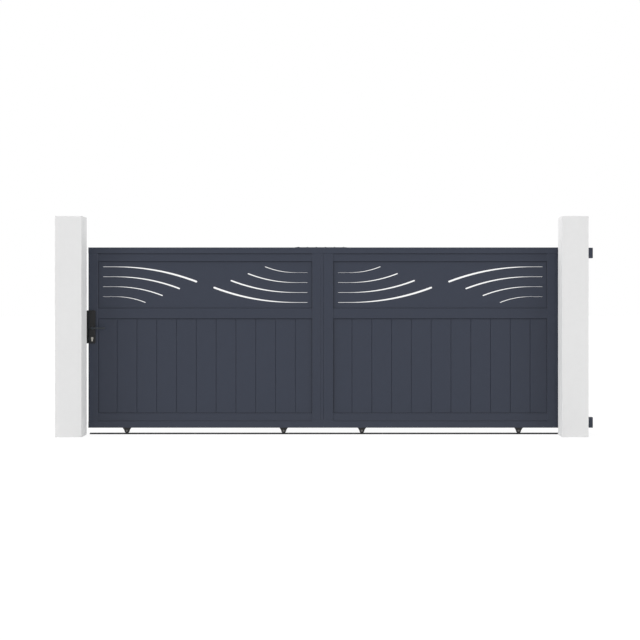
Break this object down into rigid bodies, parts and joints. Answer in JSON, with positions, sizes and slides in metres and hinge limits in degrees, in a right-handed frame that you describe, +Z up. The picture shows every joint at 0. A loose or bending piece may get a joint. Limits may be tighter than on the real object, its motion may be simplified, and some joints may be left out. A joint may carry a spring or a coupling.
{
  "type": "sliding driveway gate with masonry piers",
  "caption": "Sliding driveway gate: a framed metal leaf with curved cut-outs over upright boards rolls on a ground rail behind square rendered piers",
  "frame": {"origin": "the middle of the left pier's base, on the ground", "axes": "+X along the gate to the right, the way the leaf opens; +Y from the street side to the drive behind; +Z up"},
  "size_m": [4.02, 0.3198, 1.638],
  "materials": {
    "render": "fine white render",
    "anthracite_coat": "satin fine-textured powder coat",
    "black_coat": "black powder coat",
    "rail_steel": "dark grey coated steel",
    "zinc": "bright zinc plate",
    "nickel": "satin nickelled brass",
    "nylon": "black nylon"
  },
  "bodies": {
    "posts_and_rail": {"left_pier": "render", "right_pier": "render", "ground_rail": "rail_steel", "keeper": "black_coat", "guide_bracket": "black_coat", "guide_rollers": "nylon"},
    "leaf": {"left_module_left_stile": "anthracite_coat", "left_module_right_stile": "anthracite_coat", "left_module_bottom_rail": "anthracite_coat", "left_module_middle_rail": "anthracite_coat", "left_module_top_rail": "anthracite_coat", "left_module_boards": "anthracite_coat", "left_module_cut_out_panel": "anthracite_coat", "left_module_top_beam": "anthracite_coat", "left_module_bottom_beam": "anthracite_coat", "right_module_left_stile": "anthracite_coat", "right_module_right_stile": "anthracite_coat", "right_module_bottom_rail": "anthracite_coat", "right_module_middle_rail": "anthracite_coat", "right_module_top_rail": "anthracite_coat", "right_module_boards": "anthracite_coat", "right_module_cut_out_panel": "anthracite_coat", "right_module_top_beam": "anthracite_coat", "right_module_bottom_beam": "anthracite_coat", "joint_plate": "anthracite_coat", "top_tail": "anthracite_coat", "bottom_tail": "anthracite_coat", "tail_caps": "nylon", "beam_caps": "nylon", "axle_bolts": "zinc", "front_lock_plate": "black_coat", "rear_lock_plate": "black_coat", "lock_case": "zinc", "lock_cylinder": "nickel", "carriage_1": "black_coat", "carriage_2": "black_coat", "carriage_3": "black_coat", "carriage_4": "black_coat"},
    "levers": {"front_lever": "black_coat", "rear_lever": "black_coat", "lever_spindle": "zinc"},
    "roller_1": {"wheel_1": "nylon"},
    "roller_2": {"wheel_2": "nylon"},
    "roller_3": {"wheel_3": "nylon"},
    "roller_4": {"wheel_4": "nylon"}
  },
  "joints": [
    {"name": "leaf_slide", "type": "slide", "parent": "posts_and_rail", "child": "leaf", "axis": [1, 0, 0], "range_m": [0, 3.4]},
    {"name": "lever_turn", "type": "hinge", "parent": "leaf", "child": "levers", "pos_m": [0.1365, 0.144, 0.803], "axis": [0, 1, 0], "range_deg": [0, 45], "stiffness_Nm_per_rad": 1.5, "springref_deg": -20.05},
    {"name": "roller_1_spin", "type": "hinge", "parent": "leaf", "child": "roller_1", "pos_m": [0.3955, 0.144, 0.0263], "axis": [0, 1, 0], "continuous": true},
    {"name": "roller_2_spin", "type": "hinge", "parent": "leaf", "child": "roller_2", "pos_m": [1.5825, 0.144, 0.0263], "axis": [0, 1, 0], "continuous": true},
    {"name": "roller_3_spin", "type": "hinge", "parent": "leaf", "child": "roller_3", "pos_m": [2.1745, 0.144, 0.0263], "axis": [0, 1, 0], "continuous": true},
    {"name": "roller_4_spin", "type": "hinge", "parent": "leaf", "child": "roller_4", "pos_m": [3.3615, 0.144, 0.0263], "axis": [0, 1, 0], "continuous": true}
  ],
  "couplings": [
    {"joint": "roller_1_spin", "follows": "leaf_slide", "rad_per_m": 62.5},
    {"joint": "roller_2_spin", "follows": "leaf_slide", "rad_per_m": 62.5},
    {"joint": "roller_3_spin", "follows": "leaf_slide", "rad_per_m": 62.5},
    {"joint": "roller_4_spin", "follows": "leaf_slide", "rad_per_m": 62.5}
  ]
}
